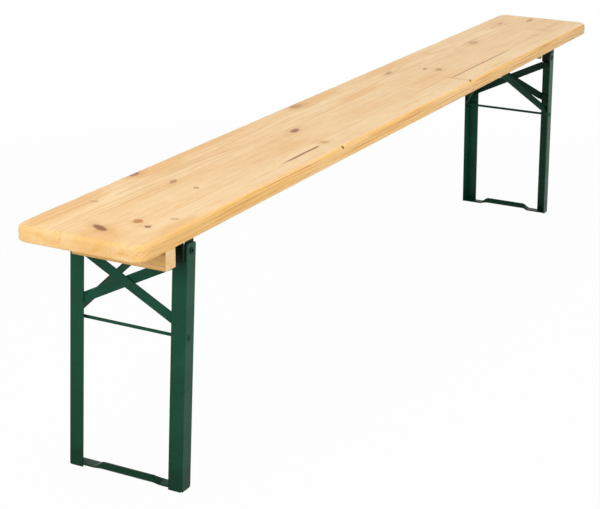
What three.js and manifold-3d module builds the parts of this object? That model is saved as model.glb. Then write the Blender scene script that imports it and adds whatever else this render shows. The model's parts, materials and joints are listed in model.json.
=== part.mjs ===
// Folding bench: a glued pine board on two green angle-steel leg frames that fold in under it.
// Millimetres, +Z up, X along the board with the near end at -X, front side at -Y.
// The origin is on the floor under the middle of the board.
// Each end is drawn from its hinge axis: X points inboard, Z up. The far end is the same end turned round,
// so its front pieces, seen from outside that end, lie at +Y.
import * as THREE from 'three';
import { mergeVertices } from 'three/addons/utils/BufferGeometryUtils.js';
import Module from 'manifold-3d';

const wasm = await Module();
wasm.setup();

// Fit between pieces
const seatingGap = 0.3; // between faces that touch
const holePlay = 0.3; // added to a shank's radius
const cutOverrun = 5; // how far a cutter passes a face

// Board
const seatHeight = 480;
const seatLength = 2200;
const seatWidth = 250;
const seatThickness = 28;
const seatCornerRadius = 26;
const seatTopRound = 9;
const seatBottomRound = 3;

// Leg angles
const splayAngle = THREE.MathUtils.degToRad(3.56);
const nearOverhang = 148; // board end to the leg's outer face, at the underside
const farOverhang = 243;
const legSideInset = 7.8; // board's side to the leg
const faceFlangeWidth = 27.9; // flange that faces the end of the bench
const sideFlangeWidth = 27.8; // flange that faces sideways
const angleThickness = 3;
const angleBendRadius = 2.5;
const footCornerRadius = 5;
const faceTopDrop = 16.2; // the face flange stops this far below the hinge axis
const sideTopRise = 13.6; // the side flange ends this far above the hinge axis
const sideTopRadius = 4.5;
const hingeDrop = 24; // board underside to hinge axis
const hingeInset = 14.4; // leg's outer face to hinge axis

// Braces
const braceWidth = 18;
const braceThickness = 3;
const nearOverBraceDrop = 76; // middle of the brace below the hinge axis
const nearUnderBraceDrop = 69.8;
const farOverBraceDrop = 69;
const farUnderBraceDrop = 65.9;
const nearOverBraceSlope = 26.6; // degrees from level
const nearUnderBraceSlope = 26.9; // degrees
const farOverBraceSlope = 26.3; // degrees
const farUnderBraceSlope = 25.5; // degrees
const braceFits = {
  near: {
    over: { drop: nearOverBraceDrop, slope: nearOverBraceSlope },
    under: { drop: nearUnderBraceDrop, slope: nearUnderBraceSlope },
  },
  far: {
    over: { drop: farOverBraceDrop, slope: farOverBraceSlope },
    under: { drop: farUnderBraceDrop, slope: farUnderBraceSlope },
  },
};
const braceEndInset = 9; // brace end to the leg's side flange
const braceTopGap = 1; // brace end below the top of the face flange
const braceJoggleLength = 4;

// Cross rod
const rodRadius = 3;
const rodDrop = 153.4; // hinge axis to rod, along the leg
const rodHeadRadius = 6;
const rodHeadHeight = 2.2;

// Foot bar: a round bar with flattened ends
const footBarRadius = 6.75;
const footBarFlatWidth = 24;
const footBarFlatThickness = 3;
const footBarFlatLength = 44;
const footBarTaperLength = 20;
const footBarLift = 1;
const footBarSideStep = 5.6; // round part's axis outboard of the middle of the flat ends
const footBarSquareShare = 0.5; // exponent that squares the flat ends

// Hinge bracket and its hollow rivet
const bracketThickness = 2.5;
const bracketOuterReach = 42.5; // outboard of the hinge axis
const bracketWidth = 30;
const bracketReliefRadius = 3.5;
const earRadius = 12;
const endWallReach = 21.4; // hinge axis to the wall's outer face
const endWallDrop = 17.4; // hinge axis to the wall's lower edge
const earFlankAngle = THREE.MathUtils.degToRad(-120);
const rivetRadius = 4;
const rivetBoreRadius = 2.5;
const rivetRimRadius = 6;
const rivetRimHeight = 1.2;

// Strut: two flat arms from the cross rod to one guide pin
const strutWidth = 18;
const strutThickness = 3;
const strutLength = 218.9; // rod to guide pin, along the arms
const strutRootRun = 14; // parallel run beside the leg
const strutTipRun = 14; // parallel run below the guide pin
const strutTipCorner = 4;
const strutTipOverhang = 1; // arm end past the guide pin
const lugRise = 13; // guide pin above the arms' middle line
const lugRadius = 4;
const guidePinRadius = 2;
const guidePinHeadRadius = 4;
const guidePinHeadHeight = 4;

// Guide rail: a channel, open downward, that the guide pin runs in
const guidePinDrop = 11; // board underside to guide pin
const railThickness = 1.5;
const railInnerWidth = 16;
const railDepth = 14;
const railOuterRun = 17; // rail end outboard of the guide pin
const railInnerRun = 17; // rail end inboard of the pin's folded place

// Spring catch: a leaf whose tooth holds the guide pin
const catchThickness = 1;
const catchWidth = 14;
const catchClearance = 0.5; // guide pin head to tooth
const catchHold = 3.5; // how much of the pin head the tooth covers
const catchLength = 50; // tooth to root
const catchLift = 0.2; // leaf above the guide pin head
const catchEarSpan = 28;
const catchEarLength = 10;
const catchEarGap = 1.5; // tooth to ears, and ears to the rail's cut walls

// Batten across the board's underside
const battenWidth = 30;
const battenDepth = 40;
const battenFrontInset = 12; // board's front side to the batten's end
const battenBackInset = 53;
const battenGap = 30; // leg's outer face to the batten
const battenEdgeRound = 1.5;
const recessRadius = 5.5;
const recessDepth = 9;
const battenScrewInset = 40; // batten's end to its screw

// Screws
const screwShankRadius = 2.1;
const screwHeadRadius = 4.2;
const screwHeadHeight = 2.2;
const screwHeadCrown = 0.8; // height of the rounded part of the head
const screwBite = 17; // length in the board
const screwTipLength = 4;
const screwBottomRoom = 1.5;
const plateScrewInset = 9; // bracket edge to screw
const railScrewInset = 7; // rail end to screw

// Facets
const holeSides = 12;
const screwSides = 10;
const rodSides = 16;
const arcSteps = 4;
const seatRoundSteps = 5;
const footBarSides = 20;
const footBarTaperSteps = 5;

// Places worked out from the hinge axis
const hingeHeight = seatHeight - seatThickness - hingeDrop;
const legPlane = -hingeInset / Math.cos(splayAngle) + hingeDrop * Math.tan(splayAngle);
const nearHingeX = -(seatLength / 2 - nearOverhang) - legPlane;
const farHingeX = seatLength / 2 - farOverhang + legPlane;
const seatTouch = hingeDrop - seatingGap;
const halfFrame = seatWidth / 2 - legSideInset;
const sideInner = halfFrame - angleThickness;
const faceEdge = halfFrame - faceFlangeWidth;
const faceOuter = -hingeInset;
const faceInner = faceOuter + angleThickness;
const flangeEdge = faceOuter + sideFlangeWidth;
const armOuter = sideInner - seatingGap;
const armMiddle = armOuter - strutThickness / 2;
const armTipMiddle = (strutThickness + seatingGap) / 2;
const rodX = -rodDrop * Math.sin(splayAngle);
const rodZ = -rodDrop * Math.cos(splayAngle);
const pinZ = hingeDrop - guidePinDrop;
const pinReach = Math.hypot(strutLength, lugRise);
const pinOffAngle = Math.atan2(lugRise, strutLength);
const pinX = rodX + Math.sqrt(pinReach ** 2 - (pinZ - rodZ) ** 2);
const strutTilt = Math.atan2(pinZ - rodZ, pinX - rodX) - pinOffAngle;
const foldedPinX = rodDrop + Math.sqrt(pinReach ** 2 - pinZ ** 2);
const webBottom = seatTouch - railThickness;
const railScrewHead = webBottom - seatingGap;

const pine = { color: 0xeecb98, roughness: 0.45, metalness: 0 };
const paleWood = { color: 0xe6bf86, roughness: 0.6, metalness: 0 };
const greenPaint = { color: 0x1f4f3e, roughness: 0.38, metalness: 0.1 };
const springSteel = { color: 0x3b4143, roughness: 0.35, metalness: 0.9 };
const zincSteel = { color: 0x9b9d98, roughness: 0.35, metalness: 0.9 };

function solidFrom(geometry) {
  const bare = geometry.index ? geometry.toNonIndexed() : geometry.clone();
  bare.deleteAttribute('normal');
  bare.deleteAttribute('uv');
  const merged = mergeVertices(bare);
  return new wasm.Manifold(new wasm.Mesh({
    numProp: 3,
    vertProperties: new Float32Array(merged.attributes.position.array),
    triVerts: new Uint32Array(merged.index.array),
  }));
}

function geometryFrom(solid) {
  const mesh = solid.getMesh();
  const geometry = new THREE.BufferGeometry();
  geometry.setAttribute('position', new THREE.BufferAttribute(new Float32Array(mesh.vertProperties), 3));
  geometry.setIndex(new THREE.BufferAttribute(new Uint32Array(mesh.triVerts), 1));
  return geometry;
}

function piece(name, shape, look) {
  const geometry = shape.isBufferGeometry ? shape : geometryFrom(shape);
  const flat = geometry.index ? geometry.toNonIndexed() : geometry;
  flat.computeVertexNormals();
  const mesh = new THREE.Mesh(flat, new THREE.MeshStandardMaterial(look));
  mesh.name = name;
  return mesh;
}

function outline(points) {
  return new THREE.Shape(points.map(([x, y]) => new THREE.Vector2(x, y)));
}

function extruded(shape, length) {
  return new THREE.ExtrudeGeometry(shape, { depth: length, bevelEnabled: false, curveSegments: arcSteps });
}

// A prism with its outline in X and Z, running along Y
function prismAlongY(shape, fromY, toY) {
  const geometry = extruded(shape, toY - fromY);
  geometry.rotateX(Math.PI / 2);
  geometry.translate(0, toY, 0);
  return solidFrom(geometry);
}

// A prism with its outline in X and Y, running along Z
function prismAlongZ(shape, fromZ, toZ) {
  const geometry = extruded(shape, toZ - fromZ);
  geometry.translate(0, 0, fromZ);
  return solidFrom(geometry);
}

// A prism with its outline in Y and Z, running along X
function prismAlongX(shape, fromX, toX) {
  const geometry = extruded(shape, toX - fromX);
  geometry.rotateX(Math.PI / 2);
  geometry.rotateZ(Math.PI / 2);
  geometry.translate(fromX, 0, 0);
  return solidFrom(geometry);
}

function box([fromX, toX], [fromY, toY], [fromZ, toZ]) {
  const geometry = new THREE.BoxGeometry(toX - fromX, toY - fromY, toZ - fromZ);
  geometry.translate((fromX + toX) / 2, (fromY + toY) / 2, (fromZ + toZ) / 2);
  return solidFrom(geometry);
}

function boreAlongY(radius, [fromY, toY], x, z) {
  const geometry = new THREE.CylinderGeometry(radius, radius, toY - fromY, holeSides);
  geometry.translate(x, (fromY + toY) / 2, z);
  return solidFrom(geometry);
}

function boreAlongZ(radius, [fromZ, toZ], x, y) {
  const geometry = new THREE.CylinderGeometry(radius, radius, toZ - fromZ, holeSides);
  geometry.rotateX(Math.PI / 2);
  geometry.translate(x, y, (fromZ + toZ) / 2);
  return solidFrom(geometry);
}

// A turned piece about Y: its profile holds radius and height
function turned(points, sides) {
  return new THREE.LatheGeometry(points.map(([r, h]) => new THREE.Vector2(r, h)), sides);
}

// A stretch across the bench on one side: +1 is the back, -1 the front
function across(side, from, to) {
  return side < 0 ? [-to, -from] : [from, to];
}

function roundedRectangle([fromX, toX], [fromY, toY], radius) {
  const quarter = Math.PI / 2;
  const shape = new THREE.Shape();
  shape.absarc(toX - radius, fromY + radius, radius, -quarter, 0, false);
  shape.absarc(toX - radius, toY - radius, radius, 0, quarter, false);
  shape.absarc(fromX + radius, toY - radius, radius, quarter, quarter * 2, false);
  shape.absarc(fromX + radius, fromY + radius, radius, quarter * 2, quarter * 3, false);
  shape.closePath();
  return shape;
}

// A bent strip: its middle line, given a thickness, with mitred corners
function stripOutline(line, thickness) {
  const flanks = [1, -1].map((flank) => line.map((point, i) => {
    const before = line[Math.max(i - 1, 0)];
    const after = line[Math.min(i + 1, line.length - 1)];
    const arriving = new THREE.Vector2(point[0] - before[0], point[1] - before[1]).normalize();
    const leaving = new THREE.Vector2(after[0] - point[0], after[1] - point[1]).normalize();
    const inward = arriving.lengthSq() ? arriving : leaving;
    const onward = leaving.lengthSq() ? leaving : arriving;
    const mitre = inward.clone().add(onward).normalize();
    const reach = flank * thickness / 2 / mitre.dot(inward);
    return [point[0] - mitre.y * reach, point[1] + mitre.x * reach];
  }));
  return outline([...flanks[0].reverse(), ...flanks[1]]);
}

// Height along the leg at which it meets the floor
function floorLine(x) {
  return x * Math.tan(splayAngle) - hingeHeight / Math.cos(splayAngle);
}

// Outer face of the leg frame at a height in the upright axes of the end
function legFaceX(z, faceX) {
  return faceX / Math.cos(splayAngle) + z * Math.tan(splayAngle);
}

// Leg angle, in the leg's own axes, which lean with the splay
function legAngle(side) {
  const y = side * halfFrame;
  const bend = side * angleBendRadius;
  const section = new THREE.Shape();
  section.moveTo(faceOuter + angleBendRadius, y);
  section.lineTo(flangeEdge, y);
  section.lineTo(flangeEdge, side * sideInner);
  section.lineTo(faceInner, side * sideInner);
  section.lineTo(faceInner, side * faceEdge);
  section.lineTo(faceOuter, side * faceEdge);
  section.lineTo(faceOuter, y - bend);
  section.quadraticCurveTo(faceOuter, y, faceOuter + angleBendRadius, y);
  const bar = prismAlongZ(section, floorLine(faceOuter) - cutOverrun, sideTopRise + cutOverrun);

  const sideView = new THREE.Shape();
  sideView.moveTo(faceOuter - cutOverrun, floorLine(faceOuter - cutOverrun));
  const heelZ = floorLine(flangeEdge);
  const topArcZ = sideTopRise - sideTopRadius;
  sideView.lineTo(flangeEdge - footCornerRadius, floorLine(flangeEdge - footCornerRadius));
  sideView.quadraticCurveTo(flangeEdge, heelZ, flangeEdge, heelZ + footCornerRadius);
  sideView.lineTo(flangeEdge, topArcZ);
  sideView.absarc(flangeEdge - sideTopRadius, topArcZ, sideTopRadius, 0, Math.PI / 2, false);
  sideView.lineTo(faceOuter + sideTopRadius, sideTopRise);
  sideView.absarc(faceOuter + sideTopRadius, topArcZ, sideTopRadius, Math.PI / 2, Math.PI, false);
  sideView.lineTo(faceOuter, -faceTopDrop);
  sideView.lineTo(faceOuter - cutOverrun, -faceTopDrop);
  const trimmed = bar.intersect(prismAlongY(sideView, -halfFrame - cutOverrun, halfFrame + cutOverrun));

  const footZ = floorLine(faceOuter);
  const corner = new THREE.Shape();
  corner.moveTo(y - side * footCornerRadius, footZ - cutOverrun);
  corner.lineTo(y - side * footCornerRadius, footZ);
  corner.quadraticCurveTo(y, footZ, y, footZ + footCornerRadius);
  corner.lineTo(y + side * cutOverrun, footZ + footCornerRadius);
  corner.lineTo(y + side * cutOverrun, footZ - cutOverrun);
  const cornerCut = prismAlongX(corner, faceOuter - cutOverrun, faceInner);
  const topCut = box([faceOuter - cutOverrun, faceInner], across(side, faceEdge - cutOverrun, sideInner),
    [-faceTopDrop, sideTopRise + cutOverrun]);
  const through = across(side, sideInner - cutOverrun, halfFrame + cutOverrun);
  return trimmed.subtract(cornerCut).subtract(topCut)
    .subtract(boreAlongY(rivetRadius + holePlay, through, 0, 0))
    .subtract(boreAlongY(rodRadius + holePlay, through, 0, -rodDrop));
}

// Crossing flat brace; the one underneath steps inboard between its ends
function brace({ drop, slope }, slopeSide, stepped) {
  const lean = THREE.MathUtils.degToRad(slope);
  const endX = faceInner + seatingGap + braceThickness / 2;
  const middleX = endX + (stepped ? braceThickness + seatingGap : 0);
  const endReach = (sideInner + braceWidth) / Math.cos(lean);
  const stepReach = faceEdge / Math.cos(lean);
  const stepEnd = stepReach - braceJoggleLength;
  const half = [[middleX, stepEnd], [endX, stepReach], [endX, endReach]];
  const line = [...half.map(([x, s]) => [x, -s]).reverse(), ...half];
  const straight = extruded(stripOutline(line, braceThickness), braceWidth);
  straight.translate(0, 0, -braceWidth / 2);
  straight.rotateX(slopeSide * lean);
  straight.translate(0, 0, -drop);
  const halfSpan = sideInner - braceEndInset;
  return solidFrom(straight).intersect(
    box([faceOuter, flangeEdge], [-halfSpan, halfSpan], [-rodDrop, -faceTopDrop - braceTopGap]),
  );
}

function crossRod() {
  const headStart = halfFrame + seatingGap;
  const headEnd = headStart + rodHeadHeight;
  const crownRadius = rodHeadRadius - rodHeadHeight;
  return turned([
    [0, -headEnd], [crownRadius, -headEnd], [rodHeadRadius, -headStart], [rodRadius, -headStart],
    [rodRadius, headStart], [rodHeadRadius, headStart], [crownRadius, headEnd], [0, headEnd],
  ], rodSides);
}

// Foot bar in the upright axes of the end: both end flats and the round middle stand on one level
function footBar() {
  const endY = sideInner - seatingGap;
  const flatStart = endY - footBarFlatLength;
  const levels = [endY, flatStart];
  const flatness = [1, 1];
  for (let step = 1; step <= footBarTaperSteps; step += 1) {
    const share = step / footBarTaperSteps;
    levels.push(flatStart - footBarTaperLength * share);
    flatness.push((1 + Math.cos(Math.PI * share)) / 2);
  }
  const allLevels = [...levels, ...levels.map((y) => -y).reverse()];
  const allFlatness = [...flatness, ...[...flatness].reverse()];
  const geometry = new THREE.CylinderGeometry(1, 1, 1, footBarSides, allLevels.length - 1);
  const flatTop = -hingeHeight + footBarLift + footBarFlatThickness;
  const flatMiddleX = legFaceX(flatTop, faceInner) + seatingGap + footBarFlatWidth / 2;
  const place = geometry.attributes.position;
  for (let i = 0; i < place.count; i += 1) {
    const row = Math.round((1 / 2 - place.getY(i)) * (allLevels.length - 1));
    const flat = allFlatness[row];
    const halfWidth = THREE.MathUtils.lerp(footBarRadius, footBarFlatWidth / 2, flat);
    const halfHeight = THREE.MathUtils.lerp(footBarRadius, footBarFlatThickness / 2, flat);
    const power = THREE.MathUtils.lerp(1, footBarSquareShare, flat);
    const squared = (value) => Math.sign(value) * Math.abs(value) ** power;
    const x = place.getX(i);
    const z = place.getZ(i);
    place.setXYZ(
      i,
      flatMiddleX - footBarSideStep * (1 - flat) + halfWidth * squared(x),
      allLevels[row],
      -hingeHeight + footBarLift + halfHeight + halfHeight * squared(z),
    );
  }
  return solidFrom(geometry);
}

// Pressed bracket: plate under the board, ear beside the leg and wall across its outboard end
function bracket(side) {
  const [nearY, farY] = across(side, armOuter - bracketWidth, armOuter);
  const plateBottom = seatTouch - bracketThickness;
  const wallInner = -endWallReach + bracketThickness;
  const plate = box([-bracketOuterReach, earRadius], [nearY, farY], [plateBottom, seatTouch]);
  const wall = box([-endWallReach, wallInner], [nearY, farY], [-endWallDrop, seatTouch]);
  const flank = new THREE.Shape();
  flank.moveTo(-endWallReach, seatTouch);
  flank.lineTo(-endWallReach, -endWallDrop);
  flank.lineTo(earRadius * Math.cos(earFlankAngle), earRadius * Math.sin(earFlankAngle));
  flank.absarc(0, 0, earRadius, earFlankAngle, 0, false);
  flank.lineTo(earRadius, seatTouch);
  const earSpan = across(side, armOuter - bracketThickness, armOuter);
  const ear = prismAlongY(flank, ...earSpan);
  const earCut = across(side, armOuter - bracketThickness - cutOverrun, armOuter + cutOverrun);
  const reliefX = wallInner + bracketReliefRadius;
  const reliefZ = plateBottom - bracketReliefRadius;
  const [outerScrew, innerScrew] = bracketScrewXs();
  const screwY = side * bracketScrewY();
  const plateCut = [plateBottom - cutOverrun, seatTouch + cutOverrun];
  return plate.add(wall).add(ear)
    .subtract(boreAlongY(rivetRadius + holePlay, earCut, 0, 0))
    .subtract(boreAlongY(bracketReliefRadius, earCut, reliefX, reliefZ))
    .subtract(boreAlongZ(screwShankRadius + holePlay, plateCut, outerScrew, screwY))
    .subtract(boreAlongZ(screwShankRadius + holePlay, plateCut, innerScrew, screwY));
}

function bracketScrewXs() {
  return [-bracketOuterReach + plateScrewInset, earRadius - plateScrewInset];
}

function bracketScrewY() {
  return armOuter - bracketWidth / 2;
}

function hingeRivet() {
  const inner = armOuter - bracketThickness - seatingGap;
  const outer = halfFrame + seatingGap;
  return turned([
    [rivetBoreRadius, inner - rivetRimHeight], [rivetRimRadius, inner - rivetRimHeight],
    [rivetRimRadius, inner], [rivetRadius, inner], [rivetRadius, outer], [rivetRimRadius, outer],
    [rivetRimRadius, outer + rivetRimHeight], [rivetBoreRadius, outer + rivetRimHeight],
    [rivetBoreRadius, inner - rivetRimHeight],
  ], rodSides);
}

// Strut arm in its own axes: the cross rod is the origin, X runs along the arm, Z is across its width
function strutArm(side) {
  const tipStart = strutLength - strutTipRun;
  const bent = prismAlongZ(stripOutline([
    [-strutWidth, side * armMiddle], [strutRootRun, side * armMiddle],
    [tipStart, side * armTipMiddle], [strutLength + strutWidth, side * armTipMiddle],
  ], strutThickness), -strutWidth, strutWidth);

  const half = strutWidth / 2;
  const tip = strutLength + strutTipOverhang;
  const lugCorner = lugRadius * Math.SQRT1_2;
  const flat = new THREE.Shape();
  flat.moveTo(0, -half);
  flat.lineTo(tip - strutTipCorner, -half);
  flat.lineTo(tip, -half + strutTipCorner);
  flat.lineTo(tip, lugRise - lugRadius - strutTipOverhang);
  flat.lineTo(strutLength + lugCorner, lugRise - lugCorner);
  flat.absarc(strutLength, lugRise, lugRadius, -Math.PI / 4, Math.PI, false);
  flat.lineTo(strutLength - lugRise, half);
  flat.lineTo(0, half);
  flat.absarc(0, 0, half, Math.PI / 2, -Math.PI / 2, false);
  const reach = halfFrame + cutOverrun;
  return bent.intersect(prismAlongY(flat, -reach, reach))
    .subtract(boreAlongY(rodRadius + holePlay, [-reach, reach], 0, 0))
    .subtract(boreAlongY(guidePinRadius + holePlay, [-reach, reach], strutLength, lugRise));
}

function guidePin() {
  const headStart = armTipMiddle + strutThickness / 2 + seatingGap;
  const headEnd = headStart + guidePinHeadHeight;
  return turned([
    [0, -headEnd], [guidePinHeadRadius, -headEnd],
    [guidePinHeadRadius, -headStart], [guidePinRadius, -headStart],
    [guidePinRadius, headStart], [guidePinHeadRadius, headStart],
    [guidePinHeadRadius, headEnd], [0, headEnd],
  ], rodSides);
}

const toothX = pinX + guidePinHeadRadius + catchClearance + catchThickness / 2;
const catchRootX = toothX + catchLength;
const catchEarX = [toothX + catchEarGap, toothX + catchEarGap + catchEarLength];
const railEndX = [pinX - railOuterRun, foldedPinX + railInnerRun];
const railScrewXs = [railEndX[0] + railScrewInset, catchRootX + railOuterRun, railEndX[1] - railScrewInset];

function guideRail() {
  const wallY = (railInnerWidth + railThickness) / 2;
  const wallZ = seatTouch - railDepth;
  const webZ = seatTouch - railThickness / 2;
  let rail = prismAlongX(
    stripOutline([[-wallY, wallZ], [-wallY, webZ], [wallY, webZ], [wallY, wallZ]], railThickness),
    ...railEndX,
  );
  const wallGap = [catchEarX[0] - catchEarGap, catchEarX[1] + catchEarGap];
  rail = rail.subtract(box(wallGap, [-catchEarSpan, catchEarSpan], [wallZ - cutOverrun, webBottom]));
  for (const x of railScrewXs) {
    rail = rail.subtract(boreAlongZ(screwShankRadius + holePlay, [wallZ, seatTouch + cutOverrun], x, 0));
  }
  return rail;
}

function springCatch() {
  const leafZ = pinZ + guidePinHeadRadius + catchLift + catchThickness / 2;
  const toothZ = pinZ + guidePinHeadRadius - catchHold;
  const rootZ = webBottom - seatingGap;
  const bends = [[toothX, toothZ], [toothX, leafZ], [catchRootX, leafZ], [catchRootX, rootZ]];
  const leaf = prismAlongY(stripOutline(bends, catchThickness), -catchWidth / 2, catchWidth / 2);
  const ears = box(catchEarX, [-catchEarSpan / 2, catchEarSpan / 2],
    [leafZ - catchThickness / 2, leafZ + catchThickness / 2]);
  return leaf.add(ears);
}

// Screw with its seat at height zero, pointing up
function screw(length) {
  const geometry = turned([
    [0, -screwHeadHeight], [screwHeadRadius - screwHeadCrown, -screwHeadHeight],
    [screwHeadRadius, -screwHeadHeight + screwHeadCrown], [screwHeadRadius, 0], [screwShankRadius, 0],
    [screwShankRadius, length - screwTipLength], [0, length],
  ], screwSides);
  geometry.rotateX(Math.PI / 2);
  return geometry;
}

const battenX = [legPlane - battenGap - battenWidth, legPlane - battenGap];
const battenMiddleX = (battenX[0] + battenX[1]) / 2;
const battenY = [battenFrontInset - seatWidth / 2, seatWidth / 2 - battenBackInset];
const battenScrewY = { front: battenY[0] + battenScrewInset, back: battenY[1] - battenScrewInset };
const battenRecessZ = seatTouch - battenDepth + recessDepth;

function batten() {
  const section = roundedRectangle(battenX, [seatTouch - battenDepth, seatTouch], battenEdgeRound);
  let wood = prismAlongY(section, ...battenY);
  const recess = [seatTouch - battenDepth - cutOverrun, battenRecessZ];
  const shankHole = [battenRecessZ - cutOverrun, seatTouch + cutOverrun];
  for (const y of Object.values(battenScrewY)) {
    wood = wood
      .subtract(boreAlongZ(recessRadius, recess, battenMiddleX, y))
      .subtract(boreAlongZ(screwShankRadius + holePlay, shankHole, battenMiddleX, y));
  }
  return wood;
}

// Every screw of one end: name, place and the height of its seat
function screwPlaces() {
  const sides = [['front', -1], ['back', 1]];
  const railWords = ['outer', 'middle', 'inner'];
  const plateSeat = seatTouch - bracketThickness - seatingGap;
  const [outerScrew, innerScrew] = bracketScrewXs();
  return [
    ...sides.flatMap(([word, side]) => [
      [`bracket_screw_${word}_outer`, outerScrew, side * bracketScrewY(), plateSeat],
      [`bracket_screw_${word}_inner`, innerScrew, side * bracketScrewY(), plateSeat],
      [`batten_screw_${word}`, battenMiddleX, battenScrewY[word], battenRecessZ - seatingGap],
    ]),
    ...railWords.map((word, i) => [`rail_screw_${word}`, railScrewXs[i], 0, railScrewHead]),
  ];
}

// How far in and how high each level of the board's rounded edge lies, from the underside up
function seatLevels() {
  const bottom = [];
  const top = [];
  for (let step = 0; step <= seatRoundSteps; step += 1) {
    const turn = (Math.PI / 2) * (step / seatRoundSteps);
    const share = [1 - Math.sin(turn), 1 - Math.cos(turn)];
    bottom.push([seatBottomRound * share[0], seatBottomRound * share[1]]);
    top.unshift([seatTopRound * share[0], seatThickness - seatTopRound * share[1]]);
  }
  return [...bottom, ...top];
}

function board() {
  const levels = seatLevels().map(([inset, height]) => {
    const spanX = [inset - seatLength / 2, seatLength / 2 - inset];
    const spanY = [inset - seatWidth / 2, seatWidth / 2 - inset];
    const ring = roundedRectangle(spanX, spanY, seatCornerRadius - inset).getPoints(arcSteps).slice(0, -1);
    return ring.map(({ x, y }) => [x, y, seatHeight - seatThickness + height]);
  });
  const count = levels[0].length;
  const top = (levels.length - 1) * count;
  const faces = [];
  for (let i = 0; i < count; i += 1) {
    const next = (i + 1) % count;
    for (let row = 0; row < levels.length - 1; row += 1) {
      const [low, high] = [row * count, (row + 1) * count];
      faces.push(low + i, low + next, high + next, low + i, high + next, high + i);
    }
    if (i > 0 && next > 0) {
      faces.push(0, next, i, top, top + i, top + next);
    }
  }
  const geometry = new THREE.BufferGeometry();
  geometry.setAttribute('position', new THREE.Float32BufferAttribute(levels.flat(2), 3));
  geometry.setIndex(faces);
  let wood = solidFrom(geometry);
  const underside = seatHeight - seatThickness;
  const pilot = [underside - cutOverrun, underside + screwBite + screwBottomRoom];
  for (const [hingeX, turn] of [[nearHingeX, 1], [farHingeX, -1]]) {
    for (const [, x, y] of screwPlaces()) {
      wood = wood.subtract(boreAlongZ(screwShankRadius + holePlay, pilot, hingeX + turn * x, turn * y));
    }
  }
  return wood;
}

// One end of the bench, about its hinge axis
function benchEnd(prefix) {
  const end = new THREE.Group();

  const frame = new THREE.Group();
  frame.rotation.y = splayAngle;
  const rod = piece(`${prefix}_cross_rod`, crossRod(), greenPaint);
  rod.position.z = -rodDrop;
  frame.add(
    piece(`${prefix}_leg_front`, legAngle(-1), greenPaint),
    piece(`${prefix}_leg_back`, legAngle(1), greenPaint),
    piece(`${prefix}_brace_over`, brace(braceFits[prefix].over, 1, false), greenPaint),
    piece(`${prefix}_brace_under`, brace(braceFits[prefix].under, -1, true), greenPaint),
    rod,
  );

  const strut = new THREE.Group();
  strut.position.set(rodX, 0, rodZ);
  strut.rotation.y = -strutTilt;
  const pin = piece(`${prefix}_guide_pin`, guidePin(), zincSteel);
  pin.position.set(strutLength, 0, lugRise);
  strut.add(
    piece(`${prefix}_strut_arm_front`, strutArm(-1), greenPaint),
    piece(`${prefix}_strut_arm_back`, strutArm(1), greenPaint),
    pin,
  );

  const rivetBack = piece(`${prefix}_hinge_rivet_back`, hingeRivet(), greenPaint);
  const rivetFront = piece(`${prefix}_hinge_rivet_front`, hingeRivet(), greenPaint);
  rivetFront.rotation.x = Math.PI;
  end.add(
    frame,
    strut,
    rivetBack,
    rivetFront,
    piece(`${prefix}_foot_bar`, footBar(), greenPaint),
    piece(`${prefix}_bracket_front`, bracket(-1), greenPaint),
    piece(`${prefix}_bracket_back`, bracket(1), greenPaint),
    piece(`${prefix}_guide_rail`, guideRail(), greenPaint),
    piece(`${prefix}_spring_catch`, springCatch(), springSteel),
    piece(`${prefix}_batten`, batten(), paleWood),
  );
  for (const [name, x, y, seat] of screwPlaces()) {
    const mesh = piece(`${prefix}_${name}`, screw(hingeDrop + screwBite - seat), zincSteel);
    mesh.position.set(x, y, seat);
    end.add(mesh);
  }
  return end;
}

const bench = new THREE.Group();
const nearEnd = benchEnd('near');
nearEnd.position.set(nearHingeX, 0, hingeHeight);
const farEnd = benchEnd('far');
farEnd.position.set(farHingeX, 0, hingeHeight);
farEnd.rotation.z = Math.PI;
bench.add(piece('seat_board', board(), pine), nearEnd, farEnd);

export default bench;
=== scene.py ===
import json
import math

import bmesh
import bpy
from mathutils import Matrix, Vector, noise

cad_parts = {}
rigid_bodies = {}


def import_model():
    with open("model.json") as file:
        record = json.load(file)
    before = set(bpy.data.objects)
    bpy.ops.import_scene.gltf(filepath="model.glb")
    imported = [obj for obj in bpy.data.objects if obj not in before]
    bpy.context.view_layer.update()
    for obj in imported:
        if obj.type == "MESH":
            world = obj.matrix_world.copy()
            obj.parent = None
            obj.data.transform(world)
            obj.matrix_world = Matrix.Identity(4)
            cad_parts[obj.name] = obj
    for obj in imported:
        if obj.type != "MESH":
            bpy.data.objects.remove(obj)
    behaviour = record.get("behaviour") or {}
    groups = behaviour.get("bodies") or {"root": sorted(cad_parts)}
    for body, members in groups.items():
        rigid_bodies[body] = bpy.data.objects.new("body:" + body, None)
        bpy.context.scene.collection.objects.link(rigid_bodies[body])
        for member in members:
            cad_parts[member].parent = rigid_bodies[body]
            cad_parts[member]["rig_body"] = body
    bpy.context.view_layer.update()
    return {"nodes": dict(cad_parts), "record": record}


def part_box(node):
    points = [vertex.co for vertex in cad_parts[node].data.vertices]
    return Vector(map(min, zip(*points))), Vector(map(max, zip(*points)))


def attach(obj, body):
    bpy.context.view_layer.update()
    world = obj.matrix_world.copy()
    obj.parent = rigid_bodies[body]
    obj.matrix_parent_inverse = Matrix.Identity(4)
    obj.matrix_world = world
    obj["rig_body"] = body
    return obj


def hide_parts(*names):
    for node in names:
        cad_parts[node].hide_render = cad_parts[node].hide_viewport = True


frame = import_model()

# Folding bench: lacquered pine board on moss-green angle-steel legs
# Metres, +Z up, X along the board with the near end at -X, front side at -Y

mm = 0.001
nodes = frame["nodes"]
scene = bpy.context.scene
print("frame loaded:", len(nodes), "pieces")


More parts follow.
